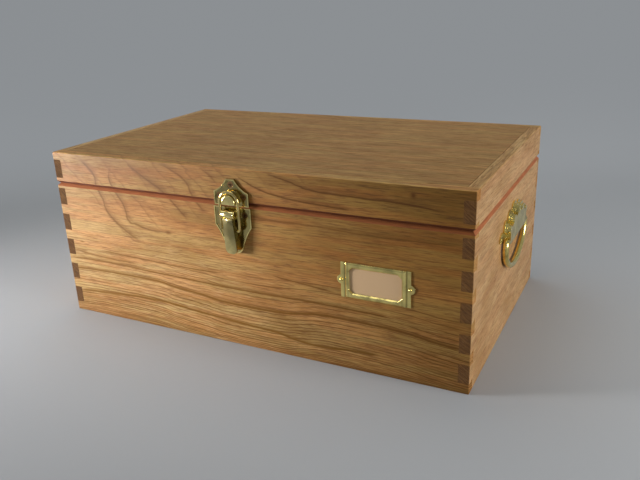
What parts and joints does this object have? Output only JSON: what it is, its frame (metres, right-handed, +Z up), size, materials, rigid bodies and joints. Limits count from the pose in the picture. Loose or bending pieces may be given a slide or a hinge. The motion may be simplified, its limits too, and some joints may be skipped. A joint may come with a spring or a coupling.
{
  "type": "tool chest",
  "caption": "Small lidded tool chest with dovetailed corners, flush panelled hinged lid, brass draw catch, label holder and hanging end handles.",
  "frame": {"origin": "middle of the case's underside, on the surface it stands on", "axes": "+X along the length to the right-hand end, +Y from front to back, +Z up"},
  "size_m": [0.412, 0.2541, 0.1614],
  "materials": {
    "case_wood": "honey brown hardwood under a satin varnish, open dark grain lines",
    "panel_wood": "the same hardwood, straight grained along the length, satin varnish",
    "red_wood": "dense red hardwood, satin varnish",
    "brass": "bright polished brass plate",
    "card": "plain buff card, matt"
  },
  "bodies": {
    "base": {"base_front": "case_wood", "base_back": "case_wood", "base_left": "case_wood", "base_right": "case_wood", "base_bottom": "panel_wood", "base_rim_front": "red_wood", "base_rim_back": "red_wood", "base_rim_left": "red_wood", "base_rim_right": "red_wood", "hinge_left_base_leaf": "brass", "hinge_left_pin": "brass", "hinge_right_base_leaf": "brass", "hinge_right_pin": "brass", "hinge_base_screws": "brass", "catch_plate": "brass", "catch_pivot_pin": "brass", "catch_screws": "brass", "label_frame": "brass", "label_pins": "brass", "handle_left_plate": "brass", "handle_left_screws": "brass", "handle_right_plate": "brass", "handle_right_screws": "brass"},
    "lid": {"lid_front": "case_wood", "lid_back": "case_wood", "lid_left": "case_wood", "lid_right": "case_wood", "lid_top_panel": "panel_wood", "lid_rim_front": "red_wood", "lid_rim_back": "red_wood", "lid_rim_left": "red_wood", "lid_rim_right": "red_wood", "hinge_left_lid_leaf": "brass", "hinge_right_lid_leaf": "brass", "hinge_lid_screws": "brass", "strike_plate": "brass", "strike_screws": "brass"},
    "catch_lever": {"catch_lever": "brass"},
    "catch_loop": {"catch_loop": "brass"},
    "handle_left_bail": {"handle_left_bail": "brass"},
    "handle_right_bail": {"handle_right_bail": "brass"},
    "label_card": {"label_card": "card"}
  },
  "joints": [
    {"name": "lid_hinge", "type": "hinge", "parent": "base", "child": "lid", "pos_m": [0, 0.1198, 0.1315], "axis": [-1, 0, 0], "range_deg": [0, 95]},
    {"name": "catch_lever_pivot", "type": "hinge", "parent": "base", "child": "catch_lever", "pos_m": [-0.002, -0.1286, 0.1241], "axis": [-1, 0, 0], "range_deg": [0, 90]},
    {"name": "catch_loop_pivot", "type": "hinge", "parent": "catch_lever", "child": "catch_loop", "pos_m": [-0.002, -0.1274, 0.1101], "axis": [-1, 0, 0], "range_deg": [-115, 0]},
    {"name": "handle_left_pivot", "type": "hinge", "parent": "base", "child": "handle_left_bail", "pos_m": [-0.2033, 0.006, 0.0925], "axis": [0, 1, 0], "range_deg": [0, 90]},
    {"name": "handle_right_pivot", "type": "hinge", "parent": "base", "child": "handle_right_bail", "pos_m": [0.2033, 0.006, 0.0925], "axis": [0, -1, 0], "range_deg": [0, 90]},
    {"name": "card_slide", "type": "slide", "parent": "base", "child": "label_card", "axis": [0, 0, 1], "range_m": [0, 0.03]}
  ],
  "couplings": [
    {"joint": "catch_loop_pivot", "follows": "catch_lever_pivot", "ratio": -1.27}
  ]
}
